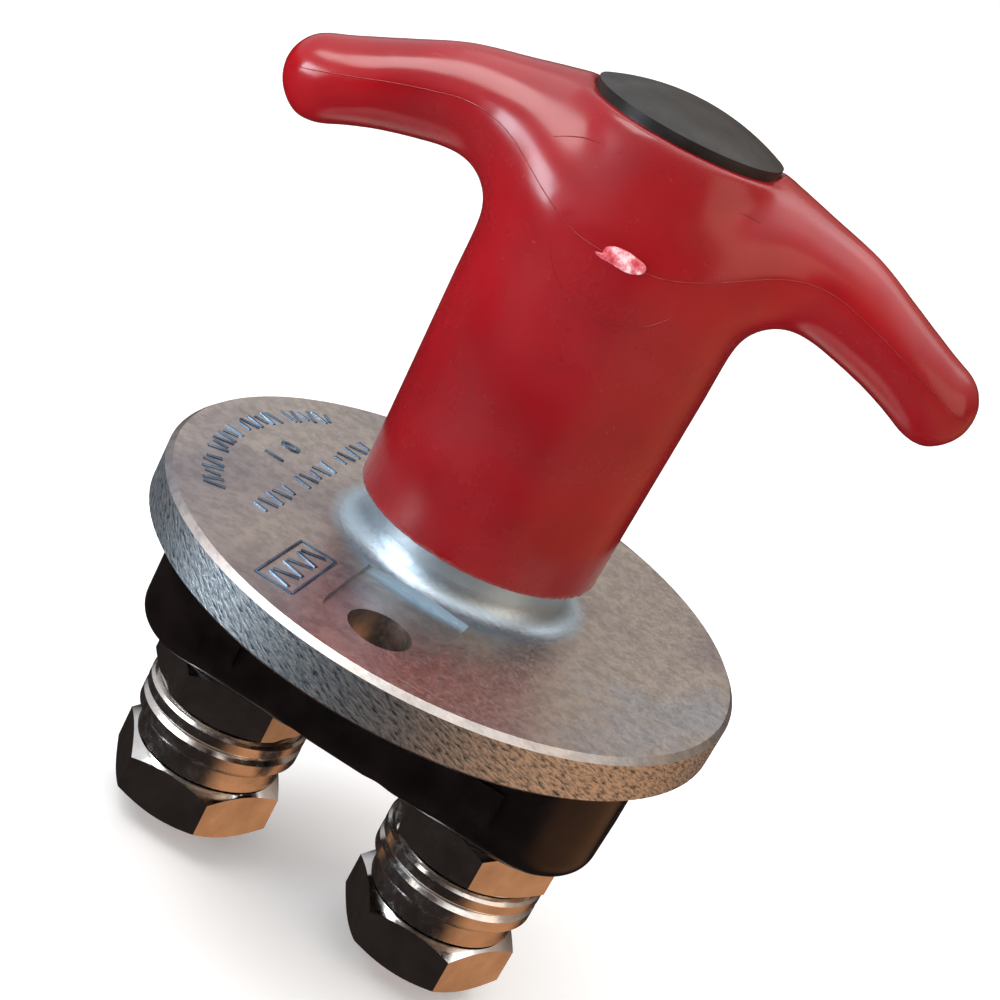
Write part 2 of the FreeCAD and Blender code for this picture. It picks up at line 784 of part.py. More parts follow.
def contact_carrier():
    """An insulating plate and hub; two quarter-turn slots in the hub lift it on the cross pin."""
    part = body("contact_carrier")
    plate = sketch(part, "plate", "XY_Plane", CARRIER_LOW)
    box_outline(plate, "carrier_long", "carrier_wide")
    slab = pad(part, plate, "carrier_thick")
    fillet(part, slab, is_upright, "2")
    hub = sketch(part, "hub", "XY_Plane", CARRIER_LOW)
    circle(hub, "hub_dia / 2")
    pad(part, hub, f"hub_top - {CARRIER_LOW}")
    bore = sketch(part, "bore", "XY_Plane", CARRIER_LOW)
    circle(bore, "tail_dia / 2 + spindle_fit")
    pocket(part, bore, f"hub_top - {CARRIER_LOW} + 1")
    slot_half = "(cross_pin_dia / 2 + 0.16)"
    inner, outer = "tail_dia / 2 - 0.5", "hub_dia / 2 + 0.5"
    for side, name in (("", "first"), ("0 - ", "second")):
        drawn = sketch(part, f"{name}_slot", "XZ_Plane")
        low = f"cross_pin_low - lift - {slot_half}"
        high = f"cross_pin_low - lift + {slot_half}"
        outline(
            drawn,
            [
                (f"{side}({inner})", low),
                (f"{side}({outer})", low),
                (f"{side}({outer})", high),
                (f"{side}({inner})", high),
            ],
        )
        slot = part.newObject("PartDesign::SubtractiveHelix", f"contact_carrier_{name}_sweep")
        slot.Profile = drawn
        slot.ReferenceAxis = (plane(part, "Z_Axis"), [""])
        slot.Mode = "pitch-height-angle"
        slot.setExpression("Pitch", d("4 * lift"))
        slot.setExpression("Height", d("lift"))
        slot.LeftHanded = True
        part.Tip = slot
    for name, role, height in (
        ("open_ends", "YZ_Plane", "cross_pin_low - lift"),
        ("closed_ends", "XZ_Plane", "cross_pin_low"),
    ):
        ends = sketch(part, name, role)
        # the first axis of both upright planes is level, so the height is the second
        circle(ends, slot_half, "0", height)
        pocket(part, ends)
    holes = sketch(part, "rivet_holes", "XY_Plane", CARRIER_LOW)
    for x in (RIVET_REACH, f"0 - {RIVET_REACH}"):
        circle(holes, "rivet_dia / 2 + 0.02", x)
    pocket(part, holes, "carrier_thick")
    return part


def contact_bridge():
    part = body("contact_bridge")
    plate = sketch(part, "plate", "XY_Plane", BRIDGE_LOW)
    box_outline(plate, "bridge_long", "bridge_wide")
    slab = pad(part, plate, "bridge_thick")
    fillet(part, slab, is_upright, "3")
    holes = sketch(part, "rivet_holes", "XY_Plane", BRIDGE_LOW)
    for x in (RIVET_REACH, f"0 - {RIVET_REACH}"):
        circle(holes, "rivet_dia / 2 + 0.02", x)
    pocket(part, holes, "bridge_thick")
    return part


def moving_contact_tips():
    part = body("moving_contact_tips")
    drawn = sketch(part, "faces", "XY_Plane", FIXED_TIP_TOP)
    for x in ("stud_pitch / 2", "0 - stud_pitch / 2"):
        circle(drawn, "tip_dia / 2", x)
    pad(part, drawn, "tip_thick")
    return part


def bridge_rivets():
    part = body("bridge_rivets")
    low = f"{BRIDGE_LOW} - rivet_head"
    lower = sketch(part, "lower_heads", "XY_Plane", low)
    shanks = sketch(part, "shanks", "XY_Plane", BRIDGE_LOW)
    upper = sketch(part, "upper_heads", "XY_Plane", CARRIER_TOP)
    for x in (RIVET_REACH, f"0 - {RIVET_REACH}"):
        circle(lower, "rivet_head_dia / 2", x)
        circle(shanks, "rivet_dia / 2", x)
        circle(upper, "rivet_head_dia / 2", x)
    pad(part, lower, "rivet_head")
    pad(part, shanks, "bridge_thick + carrier_thick")
    pad(part, upper, "rivet_head")
    return part


def contact_spring():
    """A coil of round wire between the carrier's plate and the roof of the boss's well."""
    room = f"(well_depth - {CARRIER_TOP} - spring_wire - 0.3)"
    path = doc.addObject("Part::Helix", "spring_path")
    path.setExpression("Radius", d("spring_dia / 2"))
    path.setExpression("Height", d(room))
    path.setExpression("Pitch", d(f"{room} / spring_turns"))
    wire = doc.addObject("Part::Circle", "spring_section")
    wire.setExpression("Radius", d("spring_wire / 2"))
    wire.Placement = FreeCAD.Placement(FreeCAD.Vector(), FreeCAD.Vector(1, 0, 0), 90)
    wire.setExpression(".Placement.Base.x", d("spring_dia / 2"))
    coil = doc.addObject("Part::Sweep", "contact_spring")
    coil.Sections = [wire]
    coil.Spine = (path, [])
    coil.Solid = True
    coil.Frenet = True
    coil.Label = "contact_spring"
    coil.setExpression(".Placement.Base.z", d(f"{CARRIER_TOP} + spring_wire / 2 + 0.15"))
    return coil


made = [
    flange_plate(),
    spindle_bush(),
    housing_gasket(),
    housing(),
    housing_screws(),
]
for side, hand in ((-1, "left"), (1, "right")):
    made += [
        terminal_stud(f"terminal_stud_{hand}", side),
        fixed_contact_tip(f"fixed_contact_tip_{hand}", side),
        washer(f"stud_seal_{hand}", side, SEAL_LOW, "seal_thick", "seal_dia / 2", edge="0.1"),
        hex_nut(
            f"inner_nut_{hand}",
            side,
            INNER_NUT_LOW,
            "inner_nut_height",
            f"{side} * (0 - inner_nut_turn)",
        ),
        washer(
            f"upper_washer_{hand}",
            side,
            UPPER_WASHER_LOW,
            "upper_washer_thick",
            "washer_dia / 2",
        ),
        washer(
            f"lower_washer_{hand}",
            side,
            LOWER_WASHER_LOW,
            "washer_thick",
            "washer_dia / 2",
            edge="0.6",
        ),
        spring_washer(f"spring_washer_{hand}", side),
        hex_nut(f"outer_nut_{hand}", side, OUTER_NUT_LOW, "nut_height"),
    ]
made += [
    spindle(),
    thrust_washer(),
    drive_pin(),
    o_ring(
        "spindle_seal",
        "ring_groove_low + ring_groove_wide / 2",
        "spindle_dia / 2 - ring_section / 2",
        "ring_section / 2 - 0.02",
    ),
    t_handle(),
    handle_screw(),
    handle_screw_washer(),
    handle_cap(),
    contact_carrier(),
    contact_bridge(),
    moving_contact_tips(),
    bridge_rivets(),
    contact_spring(),
]
doc.recompute()
for item in doc.Objects:
    if "Invalid" in item.State or "Error" in item.State:
        raise RuntimeError(f"{item.Label} did not recompute: {item.State}")
os.makedirs("parts", exist_ok=True)
for item in made:
    if item.Shape.isNull() or not item.Shape.isValid():
        raise RuntimeError(f"{item.Label} has no valid shape")
    item.Shape.exportStep(f"parts/{item.Label}.step")
    print(f"{item.Label}: {item.Shape.Volume:.0f} cubic mm, {len(item.Shape.Solids)} solid(s)")
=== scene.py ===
import json
import math
import random

import bmesh
import bpy
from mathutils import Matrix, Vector

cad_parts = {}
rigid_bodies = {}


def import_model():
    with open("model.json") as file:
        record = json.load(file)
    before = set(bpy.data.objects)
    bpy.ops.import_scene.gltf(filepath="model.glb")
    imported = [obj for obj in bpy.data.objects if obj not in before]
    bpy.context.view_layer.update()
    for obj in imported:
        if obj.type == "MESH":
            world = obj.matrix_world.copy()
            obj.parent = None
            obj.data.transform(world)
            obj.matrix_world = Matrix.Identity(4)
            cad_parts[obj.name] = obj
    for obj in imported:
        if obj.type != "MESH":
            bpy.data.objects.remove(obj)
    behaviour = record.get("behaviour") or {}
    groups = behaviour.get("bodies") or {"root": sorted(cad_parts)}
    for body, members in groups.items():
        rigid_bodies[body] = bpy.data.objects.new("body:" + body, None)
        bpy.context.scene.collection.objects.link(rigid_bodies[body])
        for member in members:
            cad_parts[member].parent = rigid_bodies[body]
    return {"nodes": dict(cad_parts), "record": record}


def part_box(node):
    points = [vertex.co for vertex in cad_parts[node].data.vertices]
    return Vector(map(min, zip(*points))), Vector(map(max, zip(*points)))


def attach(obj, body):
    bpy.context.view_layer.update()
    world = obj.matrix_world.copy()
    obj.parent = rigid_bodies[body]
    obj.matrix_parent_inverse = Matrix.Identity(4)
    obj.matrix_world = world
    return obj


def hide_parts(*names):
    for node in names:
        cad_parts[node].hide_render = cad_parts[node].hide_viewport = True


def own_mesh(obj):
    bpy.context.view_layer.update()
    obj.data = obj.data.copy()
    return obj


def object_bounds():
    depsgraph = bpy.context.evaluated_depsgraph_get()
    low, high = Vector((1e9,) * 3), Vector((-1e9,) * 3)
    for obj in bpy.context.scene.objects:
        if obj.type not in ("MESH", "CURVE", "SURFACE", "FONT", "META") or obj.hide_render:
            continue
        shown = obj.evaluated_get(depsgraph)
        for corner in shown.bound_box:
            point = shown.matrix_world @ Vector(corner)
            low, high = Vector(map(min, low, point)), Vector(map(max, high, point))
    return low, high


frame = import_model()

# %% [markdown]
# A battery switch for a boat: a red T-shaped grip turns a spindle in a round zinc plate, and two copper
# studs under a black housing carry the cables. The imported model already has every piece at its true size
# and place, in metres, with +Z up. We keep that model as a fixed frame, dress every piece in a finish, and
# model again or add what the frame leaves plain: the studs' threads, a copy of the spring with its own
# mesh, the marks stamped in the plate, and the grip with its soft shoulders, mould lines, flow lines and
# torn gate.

MM = 0.001
nodes = frame["nodes"]
record = frame["record"]
cad_low, cad_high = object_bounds()
print("pieces in the frame:", len(nodes))

# %% [markdown]
# Most edit operators act on whatever is selected, and the frame arrives selected. One small helper clears
# the selection, and another puts an object into edit mode with only the faces that pass a test selected.
# Selecting by place or by direction in code is steadier than counting faces. A piece that is to be
# reshaped starts as a loose copy of the frame's own, with the corners that its faces share welded.

# %% Helpers for edit mode
WELD_GAP = 0.001 * MM


def only(piece):
    """Selects one object and makes it the active one."""
    if bpy.context.object and bpy.context.object.mode != "OBJECT":
        bpy.ops.object.mode_set(mode="OBJECT")
    bpy.ops.object.select_all(action="DESELECT")
    piece.select_set(True)
    bpy.context.view_layer.objects.active = piece
    return piece


def pick_faces(piece, wanted):
    """Enters edit mode with the faces that pass the test selected."""
    only(piece)
    bpy.ops.object.mode_set(mode="EDIT")
    bpy.ops.mesh.select_mode(type="FACE")
    bpy.ops.mesh.select_all(action="DESELECT")
    mesh = bmesh.from_edit_mesh(piece.data)
    for face in mesh.faces:
        if wanted(face):
            face.select_set(True)
    bmesh.update_edit_mesh(piece.data)


def leave_edit():
    bpy.ops.object.mode_set(mode="OBJECT")


def loose_copy(node):
    """A copy of one piece of the frame, free of its parent and with its mesh welded."""
    only(nodes[node])
    bpy.ops.object.duplicate()
    made = bpy.context.object
    bpy.ops.object.parent_clear(type="CLEAR_KEEP_TRANSFORM")
    bpy.ops.object.mode_set(mode="EDIT")
    bpy.ops.mesh.select_all(action="SELECT")
    bpy.ops.mesh.remove_doubles(threshold=WELD_GAP)
    leave_edit()
    return made


def settle(piece, name):
    """Names a finished piece and writes its place into its mesh."""
    only(piece)
    bpy.ops.object.transform_apply(location=True, rotation=True, scale=True)
    piece.name = name
    piece.data.name = name
    return piece


def smooth(piece, degrees=35):
    only(piece)
    bpy.ops.object.shade_smooth_by_angle(angle=math.radians(degrees))


def join(pieces, name):
    """Joins several meshes into one object."""
    bpy.ops.object.select_all(action="DESELECT")
    for piece in pieces:
        piece.select_set(True)
    bpy.context.view_layer.objects.active = pieces[0]
    bpy.ops.object.join()
    return settle(pieces[0], name)


bpy.ops.object.select_all(action="DESELECT")
print("selection cleared")

# %% [markdown]
# Every finish here is a Principled shader with patterns added on top. The patterns read Object
# coordinates, which are metres on this model, so a scale of 1000 is one cell per millimetre. These
# helpers add one kind of node each: a noise, a colour ramp, a blend, a sum, and a bump. Short helpers
# keep each finish to the few lines that make it different.

# %% Helpers for finishes
finishes = {}


def new_finish(name, metallic=0.0, ior=1.5, coat=0.0, coat_roughness=0.05):
    """A material with an empty Principled shader, and its node tree."""
    finish = bpy.data.materials.new(name)
    finish.use_nodes = True
    tree = finish.node_tree
    shader = tree.nodes["Principled BSDF"]
    shader.inputs["Metallic"].default_value = metallic
    shader.inputs["IOR"].default_value = ior
    shader.inputs["Coat Weight"].default_value = coat
    shader.inputs["Coat Roughness"].default_value = coat_roughness
    return finish, tree, shader


def noise(tree, per_mm, stretch=(1, 1, 1), turn=(0, 0, 0), detail=4, roughness=0.55):
    """Noise on Object coordinates with that many cells in a millimetre."""
    place = tree.nodes.new("ShaderNodeTexCoord")
    mapping = tree.nodes.new("ShaderNodeMapping")
    mapping.inputs["Scale"].default_value = stretch
    mapping.inputs["Rotation"].default_value = [math.radians(angle) for angle in turn]
    made = tree.nodes.new("ShaderNodeTexNoise")
    made.inputs["Scale"].default_value = per_mm / MM
    made.inputs["Detail"].default_value = detail
    made.inputs["Roughness"].default_value = roughness
    tree.links.new(place.outputs["Object"], mapping.inputs["Vector"])
    tree.links.new(mapping.outputs["Vector"], made.inputs["Vector"])
    return made.outputs["Fac"]


def ramp(tree, value, stops):
    """A colour ramp: stops are (position, colour), and a plain number is a grey."""
    made = tree.nodes.new("ShaderNodeValToRGB")
    bands = made.color_ramp.elements
    while len(bands) < len(stops):
        bands.new(0.5)
    for band, (position, colour) in zip(bands, stops):
        band.position = position
        if isinstance(colour, (int, float)):
            colour = (colour, colour, colour)
        band.color = (*colour, 1)
    tree.links.new(value, made.inputs["Fac"])
    return made.outputs["Color"]


def mix(tree, amount, low, high):
    """Blends two colours, each a socket or a plain colour."""
    made = tree.nodes.new("ShaderNodeMix")
    made.data_type = "RGBA"
    for socket, value in ((made.inputs[0], amount), (made.inputs[6], low), (made.inputs[7], high)):
        if isinstance(value, bpy.types.NodeSocket):
            tree.links.new(value, socket)
        elif isinstance(value, (int, float)):
            socket.default_value = value
        else:
            socket.default_value = (*value, 1)
    return made.outputs[2]


def maths(tree, kind, first, second=0.0):
    """One Math node on sockets or plain numbers."""
    made = tree.nodes.new("ShaderNodeMath")
    made.operation = kind
    for socket, value in zip(made.inputs, (first, second)):
        if isinstance(value, bpy.types.NodeSocket):
            tree.links.new(value, socket)
        else:
            socket.default_value = value
    return made.outputs[0]


def bump(tree, shader, height, depth_mm, strength=1.0):
    """Raises the surface by the height pattern, on top of any bump already there."""
    made = tree.nodes.new("ShaderNodeBump")
    made.inputs["Strength"].default_value = strength
    made.inputs["Distance"].default_value = depth_mm * MM
    tree.links.new(height, made.inputs["Height"])
    before = shader.inputs["Normal"].links
    if before:
        tree.links.new(before[0].from_socket, made.inputs["Normal"])
    tree.links.new(made.outputs["Normal"], shader.inputs["Normal"])


def scratches(tree, per_mm, turn, share):
    """Fine lines in one direction: noise drawn out long, with only its peaks kept."""
    drawn = noise(tree, per_mm, stretch=(0.02, 1, 1), turn=turn, detail=2)
    return ramp(tree, drawn, [(share, 0), (min(share + 0.03, 1), 1)])


print("finish helpers ready")

# %% [markdown]
# The plate is zinc plated: a satin metal whose thin passivation film gives faint warm and bluish patches.
# Its top is smooth with small scratches, its boss keeps the grain of the casting, and its rim was cut
# with a coarse tool that leaves short slanted bright flecks. Painting a map would need a file, so the
# patches are slow noise, the flecks are noise drawn out along a slant, and two masks place them: the
# rim is what faces sideways far from the axis, and the boss is what lies close to it.

# %% Zinc plate
PLATE_RADIUS = 32 * MM
RIM_START = 31.0 * MM
MASK_REACH = 40 * MM
FLECK_SLANT = -24


def rim_noise(tree, x, y, z):
    """Slanted streaks that run round the rim: noise on the distance round the edge and the height."""
    angle = maths(tree, "ARCTAN2", y, x)
    round_edge = maths(tree, "MULTIPLY", angle, PLATE_RADIUS)
    flat = tree.nodes.new("ShaderNodeCombineXYZ")
    tree.links.new(round_edge, flat.inputs[0])
    tree.links.new(z, flat.inputs[1])
    mapping = tree.nodes.new("ShaderNodeMapping")
    mapping.vector_type = "TEXTURE"
    mapping.inputs["Rotation"].default_value = (0, 0, math.radians(FLECK_SLANT))
    mapping.inputs["Scale"].default_value = (2.6, 0.75, 1)
    streaks = tree.nodes.new("ShaderNodeTexNoise")
    streaks.inputs["Scale"].default_value = 2.4 / MM
    streaks.inputs["Detail"].default_value = 4
    streaks.inputs["Roughness"].default_value = 0.7
    tree.links.new(flat.outputs[0], mapping.inputs["Vector"])
    tree.links.new(mapping.outputs["Vector"], streaks.inputs["Vector"])
    return streaks.outputs["Fac"]


def zinc_finish(name):
    finish, tree, shader = new_finish(name, metallic=1.0)
    place = tree.nodes.new("ShaderNodeTexCoord")
    split = tree.nodes.new("ShaderNodeSeparateXYZ")
    tree.links.new(place.outputs["Object"], split.inputs[0])
    x, y, z = split.outputs
    facing = tree.nodes.new("ShaderNodeNewGeometry")
    lean = tree.nodes.new("ShaderNodeSeparateXYZ")
    tree.links.new(facing.outputs["Normal"], lean.inputs[0])
    upright = ramp(tree, maths(tree, "ABSOLUTE", lean.outputs[2]), [(0.3, 1), (0.75, 0)])
    squares = maths(tree, "ADD", maths(tree, "MULTIPLY", x, x), maths(tree, "MULTIPLY", y, y))
    reach = maths(tree, "POWER", squares, 0.5)
    far_out = maths(tree, "GREATER_THAN", reach, RIM_START)
    rim = maths(tree, "MULTIPLY", upright, far_out)
    boss = ramp(tree, maths(tree, "DIVIDE", reach, MASK_REACH), [(0.33, 1), (0.37, 0)])
    patches = noise(tree, 0.055, detail=3)
    film = ramp(
        tree,
        patches,
        [
            (0.32, (0.40, 0.36, 0.38)),
            (0.47, (0.56, 0.50, 0.47)),
            (0.6, (0.60, 0.54, 0.49)),
            (0.72, (0.52, 0.53, 0.56)),
        ],
    )
    stains = ramp(tree, noise(tree, 0.6, detail=8, roughness=0.7), [(0.42, 0.72), (0.56, 1.0)])
    tinted = tree.nodes.new("ShaderNodeMix")
    tinted.data_type = "RGBA"
    tinted.blend_type = "MULTIPLY"
    tinted.inputs[0].default_value = 0.75
    tree.links.new(film, tinted.inputs[6])
    tree.links.new(stains, tinted.inputs[7])
    cool = mix(tree, boss, tinted.outputs[2], (0.52, 0.64, 0.73))
    slant = rim_noise(tree, x, y, z)
    flecks = ramp(
        tree,
        slant,
        [(0.36, (0.13, 0.16, 0.19)), (0.46, (0.56, 0.64, 0.72)), (0.58, (0.95, 0.98, 1.0))],
    )
    tree.links.new(mix(tree, rim, cool, flecks), shader.inputs["Base Color"])
    grain = noise(tree, 2.2, detail=6, roughness=0.7)
    rough = ramp(tree, grain, [(0.3, 0.30), (0.7, 0.48)])
    tree.links.new(mix(tree, rim, rough, (0.42, 0.42, 0.42)), shader.inputs["Roughness"])
    lines = scratches(tree, 3.0, (0, 0, 25), 0.71)
    crossing = scratches(tree, 2.2, (0, 0, -50), 0.72)
    bump(tree, shader, maths(tree, "ADD", lines, crossing), -0.012, 0.6)
    bump(tree, shader, grain, 0.010, 0.5)
    cast = maths(tree, "MULTIPLY", noise(tree, 1.6, detail=6, roughness=0.7), boss)
    bump(tree, shader, cast, 0.09, 0.5)
    cut = maths(tree, "MULTIPLY", slant, rim)
    bump(tree, shader, cut, 0.12, 0.7)
    return finish


finishes["zinc_plate"] = zinc_finish("zinc_plate_finish")
print("made", finishes["zinc_plate"].name)

# %% [markdown]
# The grip is a glossy red moulding. Light goes a little way into such a plastic, which makes its thin
# edges glow, so it gets a little subsurface scattering under a clear skin. Handling leaves broad dull
# areas and hairline marks: the first is slow noise on the roughness, the second thin scratches.

# %% Red plastic
def red_finish(name):
    finish, tree, shader = new_finish(name, ior=1.5, coat=0.15, coat_roughness=0.15)
    shader.inputs["Subsurface Weight"].default_value = 0.12
    shader.inputs["Subsurface Radius"].default_value = (1.0, 0.16, 0.08)
    shader.inputs["Subsurface Scale"].default_value = 2.0 * MM
    colour = ramp(
        tree,
        noise(tree, 0.05, detail=4),
        [(0.3, (0.21, 0.0015, 0.005)), (0.55, (0.29, 0.002, 0.007)), (0.75, (0.36, 0.005, 0.008))],
    )
    tree.links.new(colour, shader.inputs["Base Color"])
    dull = noise(tree, 0.09, detail=6, roughness=0.6)
    tree.links.new(ramp(tree, dull, [(0.35, 0.17), (0.7, 0.34)]), shader.inputs["Roughness"])
    rising = scratches(tree, 1.1, (20, 0, 35), 0.73)
    falling = scratches(tree, 1.4, (-15, 30, -60), 0.74)
    bump(tree, shader, maths(tree, "ADD", rising, falling), -0.02, 0.6)
    bump(tree, shader, noise(tree, 0.16, detail=2), 0.08, 0.5)
    return finish


finishes["red_plastic"] = red_finish("red_plastic_finish")
print("made", finishes["red_plastic"].name)

# %% [markdown]
# The other finishes fall into two families: turned or plated metal, and black moulded plastic or rubber.
# Each family shares one recipe: a base colour that drifts between two tones, a roughness that drifts
# between two values, a fine grain, and a few scratches. Only the numbers differ, so each recipe is a
# function and each finish one row of numbers. The metals come first.

# %% Metals
def metal_finish(name, light, dark, shine, dull, grain_mm=0.004, marks=0.73):
    finish, tree, shader = new_finish(name, metallic=1.0)
    tone = ramp(tree, noise(tree, 0.22, detail=6), [(0.35, dark), (0.62, light)])
    tree.links.new(tone, shader.inputs["Base Color"])
    wear = noise(tree, 0.9, detail=7, roughness=0.65)
    tree.links.new(ramp(tree, wear, [(0.36, shine), (0.66, dull)]), shader.inputs["Roughness"])
    bump(tree, shader, noise(tree, 3.0, detail=4), grain_mm, 0.5)
    bump(tree, shader, scratches(tree, 2.4, (0, 20, 40), marks), -0.01, 0.5)
    return finish


# each row: light tone, dark tone, roughness where polished, roughness where worn
METALS = {
    "bright_nut": ((0.86, 0.84, 0.82), (0.66, 0.62, 0.60), 0.07, 0.2),
    "bright_washer": ((0.90, 0.87, 0.84), (0.68, 0.62, 0.58), 0.14, 0.3),
    "stud_copper": ((0.78, 0.42, 0.26), (0.50, 0.22, 0.12), 0.2, 0.42),
    "bearing_bronze": ((0.66, 0.46, 0.22), (0.48, 0.31, 0.14), 0.22, 0.4),
    "plated_steel": ((0.62, 0.62, 0.60), (0.45, 0.44, 0.42), 0.2, 0.38),
    "contact_silver": ((0.86, 0.85, 0.82), (0.66, 0.62, 0.56), 0.25, 0.45),
    "spindle_steel": ((0.58, 0.58, 0.58), (0.42, 0.42, 0.43), 0.2, 0.34),
    "spring_steel": ((0.52, 0.52, 0.53), (0.34, 0.33, 0.33), 0.25, 0.42),
    "rivet_brass": ((0.76, 0.58, 0.28), (0.56, 0.40, 0.18), 0.2, 0.4),
}
for slot, values in METALS.items():
    finishes[slot] = metal_finish(f"{slot}_finish", *values)
print("metal finishes:", ", ".join(METALS))

# %% [markdown]
# The housing is a deep glossy black moulding, the seals and the gasket are dull rubber, and the cap on the
# grip is a satin plastic. Black shows almost only its reflections, so the roughness, a fine pebble and the
# strength of the reflection tell the three apart, and their colours hardly do.

# %% Black plastics and rubber
def black_finish(name, light, dark, shine, dull, pebble_mm, specular):
    finish, tree, shader = new_finish(name)
    shader.inputs["Specular IOR Level"].default_value = specular
    tone = ramp(tree, noise(tree, 0.3, detail=6), [(0.35, dark), (0.7, light)])
    tree.links.new(tone, shader.inputs["Base Color"])
    wear = noise(tree, 0.5, detail=6, roughness=0.65)
    tree.links.new(ramp(tree, wear, [(0.35, shine), (0.7, dull)]), shader.inputs["Roughness"])
    bump(tree, shader, noise(tree, 4.0, detail=3), pebble_mm, 0.5)
    bump(tree, shader, scratches(tree, 2.0, (0, 15, 30), 0.74), -0.01, 0.5)
    return finish


# each row: light tone, dark tone, roughness where polished and worn, pebble in mm, reflection
BLACKS = {
    "black_moulding": ((0.008, 0.005, 0.005), (0.003, 0.002, 0.002), 0.1, 0.2, 0.002, 0.5),
    "black_rubber": ((0.02, 0.02, 0.02), (0.01, 0.01, 0.01), 0.5, 0.7, 0.02, 0.5),
    "cap_plastic": ((0.026, 0.024, 0.022), (0.012, 0.011, 0.010), 0.36, 0.5, 0.012, 0.35),
}
for slot, values in BLACKS.items():
    finishes[slot] = black_finish(f"{slot}_finish", *values)
print("black finishes:", ", ".join(BLACKS))

# %% [markdown]
# Each piece of the frame names the slot its finish comes from. Giving every piece its own slot's finish
# in one loop is better than naming pieces one by one, because a piece that was forgotten would stop the
# script with a missing key.

# %% Every piece gets its finish
def dress(piece, finish):
    """Puts one finish in the object's own material slots."""
    if not piece.material_slots:
        piece.data.materials.append(finish)
    for holder in piece.material_slots:
        holder.link = "OBJECT"
        holder.material = finish


for part in record["subparts"]:
    dress(nodes[part["node"]], finishes[part["material_slot"]])
print("dressed", len(record["subparts"]), "pieces")

# %% [markdown]
# A cable stud is a copper bolt. Its hexagonal head hides in the housing and its thread shows under the
# outer nut. A thread is one profile wound round the axis, so it can be a spiral made with the Screw
# modifier: a small square stood on its corner at the thread's radius, turned once for each millimetre and
# a half of height, so that only its outer corner shows. The core is a cylinder with a bevelled end.

# %% Threaded studs
THREAD_PITCH = 1.5 * MM
THREAD_TURNS = 14
THREAD_START = 0.95 * MM
STEPS_PER_TURN = 48
RIDGE_SIZE = 1.3 * MM
RIDGE_SUNK = 0.92 * MM
STUD_RADIUS = 5.0 * MM
CORE_RADIUS = 4.2 * MM
HEAD_HEIGHT = 4 * MM
HEAD_FLATS = 13 * MM


def threaded_stud(node, name):
    """A stud with a bevelled core, a hexagonal head and a real thread."""
    low, high = (Vector(corner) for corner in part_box(node))
    middle = (low + high) / 2
    bottom = low.z
    shank = high.z - HEAD_HEIGHT - bottom
    bpy.ops.mesh.primitive_cylinder_add(
        vertices=64, radius=CORE_RADIUS, depth=shank, location=(0, 0, shank / 2)
    )
    core = bpy.context.object
    pick_faces(core, lambda face: face.normal.z < -0.9)
    bpy.ops.mesh.bevel(offset=0.7 * MM, segments=2)
    leave_edit()
    bpy.ops.mesh.primitive_cylinder_add(vertices=6, radius=HEAD_FLATS / math.sqrt(3), depth=HEAD_HEIGHT)
    head = bpy.context.object
    head.location.z = shank + HEAD_HEIGHT / 2
    pick_faces(head, lambda face: True)
    bpy.ops.mesh.bevel(offset=0.3 * MM, segments=2)
    leave_edit()
    bpy.ops.mesh.primitive_plane_add(size=RIDGE_SIZE, rotation=(math.pi / 2, math.pi / 4, 0))
    ridge = bpy.context.object
    ridge.location = (STUD_RADIUS - RIDGE_SUNK, 0, 0)
    bpy.ops.object.transform_apply(location=True, rotation=True, scale=True)
    wind = ridge.modifiers.new("wind", "SCREW")
    wind.angle = math.tau
    wind.screw_offset = THREAD_PITCH
    wind.iterations = THREAD_TURNS
    wind.steps = STEPS_PER_TURN
    wind.render_steps = STEPS_PER_TURN
    wind.axis = "Z"
    bpy.ops.object.modifier_apply(modifier="wind")
    ridge.location.z = THREAD_START
    bpy.ops.object.transform_apply(location=True)
    made = join([core, head, ridge], name)
    only(made)
    bpy.ops.object.mode_set(mode="EDIT")
    bpy.ops.mesh.select_all(action="SELECT")
    bpy.ops.mesh.normals_make_consistent(inside=False)
    leave_edit()
    made.location = (middle.x, middle.y, bottom)
    settle(made, name)
    smooth(made, 40)
    dress(made, finishes["stud_copper"])
    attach(made, "base")
    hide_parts(node)
    return made


for side in ("left", "right"):
    stud = threaded_stud(f"terminal_stud_{side}", f"threaded_stud_{side}")
    print(stud.name, len(stud.data.polygons), "faces", [round(v, 4) for v in stud.dimensions])

# %% [markdown]
# The coil spring under the plate shortens when the contact carrier lifts. It belongs to the plate's body,
# and nothing here shortens it, so it stays long and can poke through the carrier. It becomes a loose copy
# with its own mesh, and its length at rest is measured.

# %% Contact spring
def shortening_spring():
    """The contact spring as a loose copy with its own mesh, and its length at rest; it is not shortened.
    """
    low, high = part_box("contact_spring")
    made = loose_copy("contact_spring")
    settle(made, "coil_spring")
    smooth(made, 50)
    dress(made, finishes["spring_steel"])
    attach(made, "base")
    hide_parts("contact_spring")
    length = high[2] - low[2]
    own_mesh(made)
    return made, length


spring, spring_length = shortening_spring()
print(spring.name, "is", round(spring_length / MM, 2), "mm long at rest")

# %% [markdown]
# The plate's top carries marks pressed in by a stamping tool. Here they are a plain ring scale, a row of
# short bars, a "0" and a "1", and a small frame of slanted strokes. Cutting them from the dense plate
# would take slow, fragile booleans, so each mark is a low bar that sinks into the plate and stands about a
# seventh of a millimetre proud, which catches the light in much the same way. Each bar is a cube scaled to
# size, with its top edges bevelled.

# %% Stamped marks
BOSS_HEIGHT = 12 * MM
PLATE_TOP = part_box("flange_plate")[1][2] - BOSS_HEIGHT
MARK_PROUD = 0.14 * MM
MARK_SUNK = 0.3 * MM
SCALE_RADIUS = 27.2 * MM
ROW_X = -17.6 * MM
FIGURES_X = -22.2 * MM


